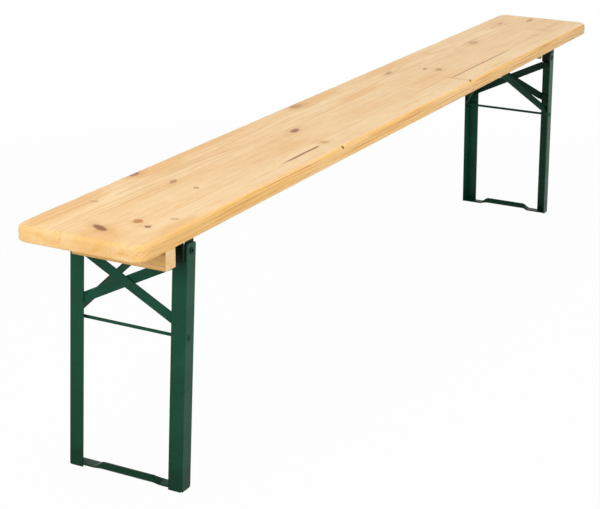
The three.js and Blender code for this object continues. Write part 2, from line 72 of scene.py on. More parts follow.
# Node maths as expressions, in materials, in the world and in Geometry Nodes
class Wire:
    def __init__(self, recipe, socket):
        self.recipe = recipe
        self.socket = socket

    def maths(self, operation, *others, reflected=False):
        values = (*others, self) if reflected else (self, *others)
        return self.recipe.node("ShaderNodeMath", {"operation": operation}, dict(enumerate(values)))

    def __add__(self, other):
        return self.maths("ADD", other)

    def __radd__(self, other):
        return self.maths("ADD", other)

    def __sub__(self, other):
        return self.maths("SUBTRACT", other)

    def __rsub__(self, other):
        return self.maths("SUBTRACT", other, reflected=True)

    def __mul__(self, other):
        return self.maths("MULTIPLY", other)

    def __rmul__(self, other):
        return self.maths("MULTIPLY", other)

    def __pow__(self, other):
        return self.maths("POWER", other)

    def __rpow__(self, other):
        return self.maths("POWER", other, reflected=True)

    def clamped(self):
        return self.recipe.node("ShaderNodeClamp", {}, {"Value": self})


class Recipe:
    def __init__(self, owner, tree):
        self.owner = owner
        self.tree = tree
        tree.nodes.clear()

    # one method for every node: its type, its settings, its socket values or links
    def node(self, kind, settings=None, inputs=None, output=0):
        made = self.tree.nodes.new(kind)
        for key, value in (settings or {}).items():
            setattr(made, key, value)
        for key, value in (inputs or {}).items():
            for item in (value if isinstance(value, list) else [value]):
                if isinstance(item, Wire):
                    self.tree.links.new(item.socket, made.inputs[key])
                else:
                    made.inputs[key].default_value = item
        return Wire(self, made.outputs[output]) if len(made.outputs) else None

    def axes(self, wire):
        first = self.node("ShaderNodeSeparateXYZ", {}, {0: wire})
        return [Wire(self, socket) for socket in first.socket.node.outputs]

    def vector(self, x, y, z):
        return self.node("ShaderNodeCombineXYZ", {}, {0: x, 1: y, 2: z})

    def length(self, wire):
        return self.node("ShaderNodeVectorMath", {"operation": "LENGTH"}, {0: wire}, 1)

    # place on the object, the same in every pose
    def place(self):
        return self.node("ShaderNodeTexCoord", {}, {}, 3)

    def noise(self, vector, scale, detail=2.0, roughness=0.5):
        return self.node("ShaderNodeTexNoise", {"noise_dimensions": "3D"},
                         {"Vector": vector, "Scale": scale, "Detail": detail, "Roughness": roughness})

    def step(self, value, start, end):
        return self.node("ShaderNodeMapRange", {"interpolation_type": "SMOOTHSTEP"},
                         {"Value": value, "From Min": start, "From Max": end})

    def blend(self, factor, first, second):
        return self.node("ShaderNodeMix", {"data_type": "RGBA", "clamp_factor": True},
                         {0: factor, 6: (*first, 1) if isinstance(first, tuple) else first,
                          7: (*second, 1) if isinstance(second, tuple) else second}, 2)

    # nought in the middle of an ellipsoid, one on its skin
    def reach(self, place, centre, halfSizes, turn=0.0):
        local = self.node("ShaderNodeMapping", {"vector_type": "TEXTURE"}, {
            "Vector": place, "Location": centre, "Rotation": (0, 0, math.radians(turn)), "Scale": halfSizes})
        return self.length(local)

    def finish(self, shaderInputs):
        shader = self.node("ShaderNodeBsdfPrincipled", {}, shaderInputs)
        self.node("ShaderNodeOutputMaterial", {}, {"Surface": shader})
        return self.owner


def shaderRecipe(owner):
    owner.use_nodes = True
    return Recipe(owner, owner.node_tree)


def linear(red, green, blue):
    # a display colour, 0 to 255, as the shader's linear colour
    shares = [c / 255 for c in (red, green, blue)]
    return tuple(c / 12.92 if c <= 0.04 else ((c + 0.055) / 1.055) ** 2.4 for c in shares)


# Wood
boardLook = {
    "seams": [-0.067, 0.030],            # glue joints between the three planks, across the board
    "seamWidth": 0.0009,
    "seamCore": 0.3,                     # share of the width that is fully dark
    "plankChange": 0.0001,               # half the width over which one plank turns into the next
    "piths": [(-0.178, 0.436), (-0.105, 0.395), (0.066, 0.425)],   # heart of each plank: across, height
    "plankTones": [0.30, 0.55, 0.45],    # share of the warmer tint in each plank
    "plankShift": 3.7,                   # keeps the patterns of two planks apart
    "ringSpacing": 0.0046,
    "ringWobble": 0.0045,
    "ringBend": 0.7,                     # how far the rings bend round a knot, in half widths
    "heartDrift": (0.045, 0.028),        # how far the heart wanders, across and in height
    "driftScales": (1.3, 1.1),           # how fast it does
    "driftApart": 4.0,                   # keeps the two wanderings apart
    # noise: scale along, across and in height, detail, roughness, plank shifts
    "patterns": {
        "wobble": (7.0, 40.0, 40.0, 3.0, 0.5, 1.0),
        "strength": (3.0, 22.0, 22.0, 2.0, 0.5, 1.0),
        "streak": (4.0, 110.0, 110.0, 4.0, 0.6, 1.0),
        "mottle": (36.0, 80.0, 80.0, 3.0, 0.6, 1.0),
        "cloud": (4.5, 20.0, 10.0, 3.0, 0.5, 2.0),
        "bands": (2.2, 0.0, 95.0, 2.0, 0.5, 0.0),
        "blotch": (30.0, 38.0, 60.0, 3.0, 0.5, 0.0),
        "thin": (5.0, 60.0, 420.0, 3.0, 0.6, 0.0),
    },
    "fibreScales": (14.0, 800.0),        # along and across the fibres
    "raggedScale": 130.0,
    "patchScale": 260.0,
    # where each mask starts and where it is full
    "ranges": {
        "facing": (0.20, 0.80),
        "ringRise": (0.35, 0.86),
        "ringFall": (0.88, 0.98),
        "darkStreak": (0.54, 0.74),
        "sideLines": (0.53, 0.68),
        "endStain": (0.50, 0.72),
        "stain": (0.2, 1.3),
        "bend": (0.5, 4.2),
        "knot": (0.68, 1.12),
        "halo": (0.8, 3.0),
        "nick": (0.6, 1.15),
        "shakeHeight": (0.462, 0.474),
    },
    # how strongly each mark or pattern shows
    "shares": {
        "seam": 0.28,
        "cloud": 1.5,
        "mottle": 0.85,
        "streak": 0.8,
        "darkStreak": 0.45,
        "fibre": 0.25,
        "sideLines": 0.85,
        "endStain": 0.30,
        "patches": 0.42,
        "nick": 0.9,
        "relief": 0.35,
        "raggedKnot": 0.55,
        "raggedNick": 0.6,
        "raggedStain": 1.2,
    },
    "shakeWander": (22.0, 0.0030),       # how fast and how far a shake strays from its line
    "shakeEdge": (0.5, 1.6),             # where its dark ends, in half widths
    "ringStrength": (1.3, -0.12),        # from the pattern, to start with
    "sideWarmth": (0.7, 2.2, -0.70),     # from the streaks, from the bands, to start with
    "endWarmth": (2.4, -0.98),           # from the blotches, to start with
    "lineShare": (0.46, 0.06, -0.20),    # dark lines on the top, more on the sides, fewer on the ends
    "haloStrength": (0.9, 0.05),         # from the streaks, to start with
    "pale": linear(242, 211, 162),
    "warm": linear(230, 184, 122),
    "lateWood": linear(202, 140, 76),
    "sideTint": linear(237, 189, 112),
    "brown": linear(106, 50, 0),
    "orange": linear(184, 122, 38),
    "grey": linear(156, 122, 74),
    "split": linear(146, 84, 14),
    "nick": linear(104, 54, 24),
    "roughness": 0.36,
    "roughnessSpread": 0.16,
    "bumpStrength": 0.10,
    "bumpDistance": 0.0006,
    "lightBend": 1.48,
    "mirrorShare": 0.12,
    "sheen": 0.03,
    "sheenRoughness": 0.4,
}

# knots seen on the top: along, across, half length, half width, turn in degrees,
# colour, darkness, orange round it
knots = {
    "bigNear": (-1.045, -0.010, 0.0085, 0.021, -28, "brown", 0.96, 0.5),
    "orangeNear": (-0.986, -0.044, 0.013, 0.0085, 20, "orange", 1.00, 0.3),
    "smallNear": (-1.0025, -0.074, 0.0070, 0.0062, 0, "brown", 0.86, 0.3),
    "paleBack": (-0.93, 0.082, 0.0060, 0.0080, 15, "grey", 0.52, 0.0),
    "paleFront": (-0.945, -0.090, 0.0070, 0.0085, 30, "grey", 0.46, 0.0),
    "backEdge": (-0.758, 0.115, 0.0150, 0.0085, 5, "brown", 0.78, 0.8),
    "middleGrey": (-0.762, 0.029, 0.0140, 0.0065, 16, "brown", 0.56, 0.2),
    "middleSmall": (-0.775, -0.027, 0.0060, 0.0060, 30, "grey", 0.80, 0.0),
    "crossGrain": (-0.385, -0.080, 0.0110, 0.0100, 0, "orange", 0.52, 0.4),
    "darkMiddle": (-0.336, 0.0115, 0.0190, 0.0085, 10, "brown", 0.90, 0.3),
    "backMiddle": (-0.1545, 0.106, 0.0200, 0.0125, -4, "brown", 0.46, 0.7),
    "farBack": (0.243, 0.074, 0.0180, 0.0060, 6, "brown", 0.50, 0.6),
    "farSmall": (0.328, 0.019, 0.0100, 0.0050, 14, "brown", 0.76, 0.2),
    "farBrown": (0.338, -0.0125, 0.0120, 0.0078, 14, "brown", 0.58, 0.6),
    "farGrey": (0.678, 0.0375, 0.0270, 0.0115, 6, "brown", 0.38, 0.2),
    "farEdge": (0.956, 0.072, 0.0160, 0.0075, 6, "brown", 0.28, 0.2),
    "farTip": (1.046, 0.021, 0.0280, 0.0060, 6, "brown", 0.62, 0.2),
    "crossBand": (0.272, -0.082, 0.0055, 0.0330, 0, "orange", 0.42, 0.1),
    "farWarm": (0.498, 0.085, 0.0180, 0.0070, 8, "orange", 0.20, 0.2),
    "farPatch": (0.853, -0.065, 0.0150, 0.0100, 0, "grey", 0.22, 0.0),
    "farRed": (0.931, -0.055, 0.0090, 0.0220, 0, "orange", 0.24, 0.1),
}

# wide warm stains in the wood: along, across, half length, half width, strength
stains = {
    "nearBack": (-0.985, 0.100, 0.130, 0.030, 0.95),
    "nearFront": (-0.975, -0.113, 0.070, 0.020, 0.85),
    "nearEnd": (-1.075, -0.040, 0.050, 0.060, 0.60),
    "backStrip": (-0.500, 0.112, 0.190, 0.016, 0.95),
    "backKnot": (-0.705, 0.098, 0.085, 0.026, 0.90),
    "middleBack": (-0.060, 0.104, 0.120, 0.026, 0.85),
    "middle": (0.010, 0.040, 0.100, 0.018, 0.60),
    "farBack": (0.300, 0.098, 0.130, 0.022, 0.60),
}

# long dark shakes in the front plank: start, end, length of the fade at each end,
# across, half width, darkness
shakes = {
    "near": (-0.580, -0.405, 0.060, 0.025, -0.0835, 0.0026, 1.0),
    "far": (0.262, 0.690, 0.030, 0.120, -0.0725, 0.0022, 0.78),
}

# chips at the front edge: along, across, height, half length, half width, half height
edgeNicks = {
    "near": (-0.388, -0.1215, 0.4760, 0.0044, 0.0048, 0.0040),
    "far": (0.272, -0.1180, 0.4782, 0.0050, 0.0048, 0.0040),
}

# middle height of knots and stains, just under the top, and how deep they go
markHeight = 0.468
knotDepth = 0.08
stainDepth = 0.2


def planks(recipe, look, y):
    # heart, tone and number of the plank at this place, and the glue joints
    pithY, pithZ = look["piths"][0]
    tone = look["plankTones"][0]
    number = 0.0
    seamLine = 0.0
    for i, seam in enumerate(look["seams"]):
        above = recipe.step(y, seam - look["plankChange"], seam + look["plankChange"])
        pithY = above * (look["piths"][i + 1][0] - look["piths"][i][0]) + pithY
        pithZ = above * (look["piths"][i + 1][1] - look["piths"][i][1]) + pithZ
        tone = above * (look["plankTones"][i + 1] - look["plankTones"][i]) + tone
        number = above + number
        distance = (y - seam).maths("ABSOLUTE")
        core = look["seamWidth"] * look["seamCore"]
        seamLine = (1.0 - recipe.step(distance, core, look["seamWidth"])) + seamLine
    return pithY, pithZ, tone, number, seamLine


def knotMarks(recipe, look, place, ragged, radius):
    # rings that bend round each knot, one mask for each knot colour, the orange round the knots
    ranges = look["ranges"]
    masks = {}
    halo = 0.0
    for along, side, halfLength, halfWidth, turn, kind, dark, ring in knots.values():
        reach = recipe.reach(place, (along, side, markHeight), (halfLength, halfWidth, knotDepth), turn)
        bend = halfWidth * look["ringBend"] * dark ** 2
        radius = (1.0 - recipe.step(reach, *ranges["bend"])) * bend + radius
        edge = (ragged - 0.5) * look["shares"]["raggedKnot"] + reach
        masks[kind] = (1.0 - recipe.step(edge, *ranges["knot"])) * dark + masks.get(kind, 0.0)
        if ring:
            halo = (1.0 - recipe.step(edge, *ranges["halo"])) * ring + halo
    return radius, masks, halo


def shakesAndNicks(recipe, look, place, ragged, colour):
    x, y, z = recipe.axes(place)
    upper = recipe.step(z, *look["ranges"]["shakeHeight"])
    wanderScale, wanderWidth = look["shakeWander"]
    coreShare, edgeShare = look["shakeEdge"]
    for start, end, fadeIn, fadeOut, side, halfWidth, dark in shakes.values():
        fade = recipe.step(x, start, start + fadeIn) * (1.0 - recipe.step(x, end - fadeOut, end))
        wander = recipe.noise(recipe.vector(x * wanderScale, side, 0.0), 1.0, 2.0)
        line = (y - side + (wander - 0.5) * wanderWidth).maths("ABSOLUTE")
        mask = (1.0 - recipe.step(line, halfWidth * coreShare, halfWidth * edgeShare)) * fade * dark * upper
        colour = recipe.blend(mask, colour, look["split"])
    for along, side, up, *halfSizes in edgeNicks.values():
        reach = recipe.reach(place, (along, side, up), tuple(halfSizes))
        edge = (ragged - 0.5) * look["shares"]["raggedNick"] + reach
        mask = 1.0 - recipe.step(edge, *look["ranges"]["nick"])
        colour = recipe.blend(mask * look["shares"]["nick"], colour, look["nick"])
    return colour


def pine(name, look, turned, marked):
    recipe = shaderRecipe(bpy.data.materials.new(name))
    place = recipe.place()
    if turned:
        quarterTurn = (0, 0, math.pi / 2)
        place = recipe.node("ShaderNodeMapping", {}, {"Vector": place, "Rotation": quarterTurn})
    x, y, z = recipe.axes(place)
    ranges, shares = look["ranges"], look["shares"]
    pithY, pithZ, tone, number, seamLine = planks(recipe, look, y)
    shift = number * look["plankShift"]

    def pattern(key):
        along, across, up, detail, roughness, shifts = look["patterns"][key]
        spot = recipe.vector(x * along + shift * shifts, y * across, z * up)
        return recipe.noise(spot, 1.0, detail, roughness)

    # year rings round a heart that wanders slowly along the plank
    scaleAcross, scaleUp = look["driftScales"]
    slow = recipe.noise(recipe.vector(x * scaleAcross + shift, 0.0, shift), 1.0, 2.0)
    slower = recipe.noise(recipe.vector(x * scaleUp + shift, look["driftApart"], shift), 1.0, 2.0)
    driftAcross, driftUp = look["heartDrift"]
    across = y - pithY + (slow - 0.5) * driftAcross
    depth = z - pithZ + (slower - 0.5) * driftUp
    radius = (across * across + depth * depth) ** 0.5 + (pattern("wobble") - 0.5) * look["ringWobble"]
    ragged = recipe.noise(place, look["raggedScale"], 2.0)
    if marked:
        radius, masks, halo = knotMarks(recipe, look, place, ragged, radius)
    saw = (radius * (1 / look["ringSpacing"])).maths("FRACT")
    lateWood = recipe.step(saw, *ranges["ringRise"]) * (1.0 - recipe.step(saw, *ranges["ringFall"]))
    alongFibre, acrossFibre = look["fibreScales"]
    fibrePlace = recipe.vector(x * alongFibre, y * acrossFibre + shift, z * acrossFibre)
    fibre = recipe.noise(fibrePlace, 1.0, 3.0, 0.6)
    streak, blotch = pattern("streak"), pattern("blotch")

    # which way the face looks: the cut ends and the long sides differ from the top
    normal = recipe.node("ShaderNodeNewGeometry", {}, {}, 1)
    normalX, normalY, _ = [part.maths("ABSOLUTE") for part in recipe.axes(normal)]
    endFace = recipe.step(normalY if turned else normalX, *ranges["facing"])
    sideFace = recipe.step(normalX if turned else normalY, *ranges["facing"])

    # pale and warm wood
    warmth = (pattern("cloud") - 0.5) * shares["cloud"] + tone
    warmth = warmth + (pattern("mottle") - 0.5) * shares["mottle"] + (streak - 0.5) * shares["streak"]
    for along, side, halfLength, halfWidth, amount in (stains.values() if marked else ()):
        reach = recipe.reach(place, (along, side, markHeight), (halfLength, halfWidth, stainDepth))
        edge = (streak - 0.5) * shares["raggedStain"] + reach
        warmth = (1.0 - recipe.step(edge, *ranges["stain"])) * amount + warmth
    colour = recipe.blend(warmth.clamped(), look["pale"], look["warm"])
    fromStreak, fromBands, sideStart = look["sideWarmth"]
    fromBlotch, endStart = look["endWarmth"]
    sideTone = sideFace * (streak * fromStreak + pattern("bands") * fromBands + sideStart)
    edgeTone = sideTone + endFace * (blotch * fromBlotch + endStart)
    colour = recipe.blend(edgeTone.clamped(), colour, look["sideTint"])

    # dark lines of the grain
    darkStreak = recipe.step(streak, *ranges["darkStreak"]) * shares["darkStreak"]
    fromStrength, ringStart = look["ringStrength"]
    ringLines = lateWood * (pattern("strength") * fromStrength + ringStart)
    lines = (ringLines + darkStreak + (fibre - 0.5) * shares["fibre"]).clamped()
    topShare, sideMore, endMore = look["lineShare"]
    lineShare = sideFace * sideMore + endFace * endMore + topShare
    sideLines = recipe.step(pattern("thin"), *ranges["sideLines"]) * sideFace * shares["sideLines"]
    colour = recipe.blend((lines * lineShare + sideLines).clamped(), colour, look["lateWood"])
    endStain = recipe.step(blotch, *ranges["endStain"]) * endFace * shares["endStain"]
    colour = recipe.blend(endStain, colour, look["lateWood"])
    if look["seams"]:
        colour = recipe.blend(seamLine.clamped() * shares["seam"], colour, look["lateWood"])

    if marked:
        fromHaloStreak, haloStart = look["haloStrength"]
        haloShare = halo.clamped() * (streak * fromHaloStreak + haloStart)
        colour = recipe.blend(haloShare, colour, look["orange"])
        patches = recipe.noise(place, look["patchScale"], 3.0) * shares["patches"]
        for kind, mask in masks.items():
            knotColour = recipe.blend(patches, look[kind], look["lateWood"])
            colour = recipe.blend(mask.clamped(), colour, knotColour)
        colour = shakesAndNicks(recipe, look, place, ragged, colour)

    relief = fibre * shares["relief"] - lines * shares["relief"]
    bump = recipe.node("ShaderNodeBump", {}, {
        "Strength": look["bumpStrength"], "Distance": look["bumpDistance"], "Height": relief})
    return recipe.finish({
        "Base Color": colour, "Roughness": (fibre - 0.5) * look["roughnessSpread"] + look["roughness"],
        "Normal": bump, "IOR": look["lightBend"], "Specular IOR Level": look["mirrorShare"],
        "Sheen Weight": look["sheen"], "Sheen Roughness": look["sheenRoughness"],
    })


boardWood = pine("boardWood", boardLook, False, True)

battenLook = dict(boardLook, seams=[], piths=[(0.02, 0.52)], ringSpacing=0.0036)
battenWood = pine("battenWood", battenLook, True, False)
print("wood made")

# Paint and bare metal
paintLook = {
    "moss": linear(18, 67, 47),
    "mossWorn": linear(28, 84, 64),
    "dusk": linear(4, 50, 32),            # painted shade, darker towards the feet
    "duskHeights": (0.0, 0.30),
    "duskShare": 0.40,
    "footHeights": (0.025, 0.055),
    "footShare": 0.55,
    "wornScale": 18.0,
    "wornRange": (0.35, 0.75),
    "wornShare": 0.5,
    "smearScale": 60.0,
    "peelScale": 900.0,
    "peelStrength": 0.10,
    "peelDistance": 0.0002,
    "roughness": 0.36,
    "roughnessSpread": 0.22,
    "lightBend": 1.5,
    "mirrorShare": 0.13,
}


def paint(name, look):
    recipe = shaderRecipe(bpy.data.materials.new(name))
    place = recipe.place()
    worn = recipe.step(recipe.noise(place, look["wornScale"], 3.0), *look["wornRange"]) * look["wornShare"]
    colour = recipe.blend(worn, look["moss"], look["mossWorn"])
    # painted shade: darker towards the feet, and darker still just above the floor
    height = recipe.axes(place)[2]
    low = (1.0 - recipe.step(height, *look["duskHeights"])) * look["duskShare"]
    foot = (1.0 - recipe.step(height, *look["footHeights"])) * look["footShare"]
    colour = recipe.blend(low + foot, colour, look["dusk"])
    smear = recipe.noise(place, look["smearScale"], 3.0)
    peel = recipe.noise(place, look["peelScale"], 2.0)
    bump = recipe.node("ShaderNodeBump", {}, {
        "Strength": look["peelStrength"], "Distance": look["peelDistance"], "Height": peel})
    return recipe.finish({
        "Base Color": colour, "Roughness": (smear - 0.5) * look["roughnessSpread"] + look["roughness"],
        "Normal": bump, "IOR": look["lightBend"], "Specular IOR Level": look["mirrorShare"],
    })


def bareMetal(name, look):
    recipe = shaderRecipe(bpy.data.materials.new(name))
    spots = recipe.noise(recipe.place(), look["spotScale"], 3.0)
    colour = recipe.blend(recipe.step(spots, *look["spotRange"]), look["tone"], look["worn"])
    roughness = (spots - 0.5) * look["roughnessSpread"] + look["roughness"]
    return recipe.finish({"Base Color": colour, "Metallic": 1.0, "Roughness": roughness})


mossPaint = paint("mossPaint", paintLook)
# painted shade: brackets and hinge rivets are painted nearly black for the deep shade under the seat
paintedDarkShadeLook = dict(paintLook, moss=linear(4, 26, 18), mossWorn=linear(8, 38, 28), dusk=linear(3, 20, 14))
paintedDarkShadePaint = paint("paintedDarkShadePaint", paintedDarkShadeLook)
# painted shade: far braces, far strut arms and foot bars are painted a darker green than the legs, for the
# shade they sit in
paintedShadeLook = dict(paintLook, moss=linear(4, 44, 30), mossWorn=linear(7, 54, 38))
paintedShadePaint = paint("paintedShadePaint", paintedShadeLook)
zincLook = {
    "tone": (0.52, 0.53, 0.52),
    "worn": (0.40, 0.41, 0.41),
    "roughness": 0.34,
    "roughnessSpread": 0.3,
    "spotScale": 420.0,
    "spotRange": (0.4, 0.7),
}
zincPlate = bareMetal("zincPlate", zincLook)
springLook = dict(zincLook, tone=(0.10, 0.105, 0.115), worn=(0.16, 0.15, 0.14), roughness=0.38)
springSteel = bareMetal("springSteel", springLook)
print("metal finishes made")

# Seat board with true rounded edges
boardShape = {
    "topRound": 9 * mm,
    "bottomRound": 3 * mm,
    "cornerRadius": 26 * mm,
    "edgeSteps": 10,
    "cornerSteps": 14,
    "pointSpacing": 4 * mm,
    "wearDepth": 1.3 * mm,       # the top edge is worn unevenly by up to about half of this
    "wearPerMetre": 38,
    "chipDepth": 2.6 * mm,
    "chipHalfLength": 8 * mm,
}


def newObject(name, data):
    made = bpy.data.objects.new(name, data)
    scene.collection.objects.link(made)
    return made


def plainMesh(rough):
    # the object as its modifiers leave it, as a mesh of its own
    bpy.context.view_layer.update()
    final = bpy.data.meshes.new_from_object(rough.evaluated_get(bpy.context.evaluated_depsgraph_get()))
    bpy.data.objects.remove(rough)
    return final


def dressed(name, mesh, replaced):
    # rides the body of the CAD nodes whose place it takes
    made = newObject(name, mesh)
    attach(made, nodes[replaced[0]]["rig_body"])
    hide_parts(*replaced)


def smoothPiece(name, mesh, material, node, bevelWidth=None):
    # smooth shading that keeps the flats flat
    for face in mesh.faces:
        face.smooth = True
    data = bpy.data.meshes.new(name)
    mesh.to_mesh(data)
    mesh.free()
    data.materials.append(material)
    rough = newObject(name + "Rough", data)
    if bevelWidth:
        bevel = rough.modifiers.new("bevel", "BEVEL")
        bevel.limit_method = "ANGLE"
        bevel.angle_limit = math.radians(softening["sharpAngle"])
        bevel.width = bevelWidth
        bevel.segments = softening["segments"]
    weights = rough.modifiers.new("weights", "WEIGHTED_NORMAL")
    weights.mode = "FACE_AREA"
    dressed(name, plainMesh(rough), [node])


def seatBoard(node, shape, material):
    low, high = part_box(node)
    steps = shape["edgeSteps"]
    middle = (low + high) / 2
    half = (high - low) / 2
    # rings from the underside up: how far in, how high and how far round the worn top edge
    turns = [math.pi / 2 * i / steps for i in range(steps + 1)]
    below, above = shape["bottomRound"], shape["topRound"]
    rings = [(below * (1 - math.sin(a)), low.z + below * (1 - math.cos(a)), 0.0) for a in turns]
    rings += [(above * (1 - math.cos(a)), high.z - above * (1 - math.sin(a)), a) for a in turns]

    def worn(point, outward, turn):
        depth = shape["wearDepth"] * max(0.0, noise.noise(point * shape["wearPerMetre"]))
        for along, *_ in edgeNicks.values():
            gap = abs(point.x - along) / shape["chipHalfLength"]
            if gap < 1 and point.y < 0:
                depth += shape["chipDepth"] * (1 - gap * gap)
        direction = outward * math.cos(turn) + Vector((0, 0, math.sin(turn)))
        return point - direction * depth * math.sin(2 * turn)

    def ringPoints(inset, height, turn):
        corner = shape["cornerRadius"] - inset
        outX = half.x - inset - corner
        outY = half.y - inset - corner
        arcs = []
        for k, (signX, signY) in enumerate(((1, 1), (-1, 1), (-1, -1), (1, -1))):
            centre = Vector((middle.x + signX * outX, middle.y + signY * outY, height))
            angles = [math.pi / 2 * (k + j / shape["cornerSteps"]) for j in range(shape["cornerSteps"] + 1)]
            outwards = [Vector((math.cos(a), math.sin(a), 0)) for a in angles]
            arcs.append([(centre + outward * corner, outward) for outward in outwards])
        points = []
        for arc, following in zip(arcs, arcs[1:] + arcs[:1]):
            points += arc
            (start, outward), (end, _) = arc[-1], following[0]
            count = round((end - start).length / shape["pointSpacing"])
            points += [(start.lerp(end, i / count), outward) for i in range(1, count)]
        return [worn(point, outward, turn) for point, outward in points]

    mesh = bmesh.new()
    loops = [[mesh.verts.new(point) for point in ringPoints(*ring)] for ring in rings]
    for lower, upper in zip(loops, loops[1:]):
        count = len(lower)
        for i in range(count):
            mesh.faces.new((lower[i], lower[(i + 1) % count], upper[(i + 1) % count], upper[i]))
    mesh.faces.new(list(reversed(loops[0])))
    mesh.faces.new(loops[-1])
    smoothPiece("seatBoard", mesh, material, node)


slotOf = {row["node"]: row["material_slot"] for row in frame["record"]["subparts"]}
seatBoard("seat_board", boardShape, boardWood)
print("board made")

# Steel pieces and battens: the CAD solid with softened edges
softening = {
    "sharpAngle": 34,            # degrees between two faces from which their edge is softened
    "segments": 2,
    "mergeDistance": 0.005 * mm,
    "flatAngle": 0.5,            # degrees within which faces become one
    "shortestEdge": 0.1 * mm,
    "widths": {
        "leg_front": 0.5 * mm, "leg_back": 0.45 * mm, "brace_over": 0.5 * mm, "brace_under": 0.5 * mm,
        "bracket_front": 0.4 * mm, "bracket_back": 0.4 * mm, "guide_rail": 0.3 * mm,
        "spring_catch": 0.2 * mm, "strut_arm_front": 0.5 * mm, "strut_arm_back": 0.5 * mm,
        "batten": 0.6 * mm, "guide_pin": 0.3 * mm, "cross_rod": 0.4 * mm,
        "hinge_rivet_front": 0.3 * mm, "hinge_rivet_back": 0.3 * mm, "foot_bar": 0.2 * mm,
    },
}
# pieces that take painted shade: nearly black brackets and rivets; darker green far braces, far strut arms
# and foot bars
paintedDarkShadePieces = ("bracket_front", "bracket_back", "hinge_rivet_front", "hinge_rivet_back")
paintedShadePieces = ("far_brace_over", "far_brace_under", "far_strut_arm_front", "far_strut_arm_back",
               "near_foot_bar", "far_foot_bar")
finishOf = {"green_paint": mossPaint, "zinc_steel": zincPlate, "spring_steel": springSteel,
            "batten_wood": battenWood, "board_wood": boardWood}


def finishFor(node):
    # pieces in shade take a painted shade finish instead of their own
    if node.endswith(paintedDarkShadePieces):
        return paintedDarkShadePaint
    return paintedShadePaint if node in paintedShadePieces else finishOf[slotOf[node]]


def softened(node, width):
    mesh = bmesh.new()
    mesh.from_mesh(nodes[node].data)
    bmesh.ops.remove_doubles(mesh, verts=mesh.verts, dist=softening["mergeDistance"])
    flatAngle = math.radians(softening["flatAngle"])
    bmesh.ops.dissolve_limit(mesh, angle_limit=flatAngle, verts=mesh.verts, edges=mesh.edges)
    bmesh.ops.dissolve_degenerate(mesh, dist=softening["shortestEdge"], edges=mesh.edges)
    smoothPiece(node + "_finished", mesh, finishFor(node), node, width)


for end in ("near", "far"):
    for kind, width in softening["widths"].items():
        softened(f"{end}_{kind}", width)
for name, node in nodes.items():
    node.data.materials.clear()
    node.data.materials.append(finishFor(name))
print("steel pieces made")

# Screws: one head with a cross recess, set on every screw place of a body
screwLook = {
    "headRadius": 4.2 * mm,
    "headHeight": 1.4 * mm,
    "crownHeight": 0.8 * mm,
    "crownRadius": 3.1 * mm,
    "shankRadius": 2.1 * mm,
    "shankLength": 12 * mm,
    "recessLength": 4.4 * mm,
    "recessWidth": 0.9 * mm,
    "recessDepth": 1.2 * mm,
    "sides": 28,
    "seed": 7,
}


class ShapeRecipe(Recipe):
    def __init__(self, name):
        group = bpy.data.node_groups.new(name, "GeometryNodeTree")
        super().__init__(group, group)
        for way in ("INPUT", "OUTPUT"):
            group.interface.new_socket("Geometry", in_out=way, socket_type="NodeSocketGeometry")
        self.source = self.node("NodeGroupInput")
        self.presets = {}

    def value(self, name, kind, preset):
        socket = self.tree.interface.new_socket(name, in_out="INPUT", socket_type="NodeSocket" + kind)
        self.presets[socket.identifier] = preset
        return Wire(self, self.source.socket.node.outputs[name])

    def moved(self, geometry, how, amount):
        return self.node("GeometryNodeTransform", {}, {"Geometry": geometry, how: amount})

    def joined(self, operation, inputs):
        return self.node("GeometryNodeMeshBoolean", {"operation": operation, "solver": "EXACT"}, inputs)

    def evaluated(self, name, points):
        # the finished pieces as one plain mesh
        holder = newObject(name + "Points", points)
        modifier = holder.modifiers.new(name, "NODES")
        modifier.node_group = self.tree
        for identifier, preset in self.presets.items():
            modifier[identifier] = preset
        return plainMesh(holder)


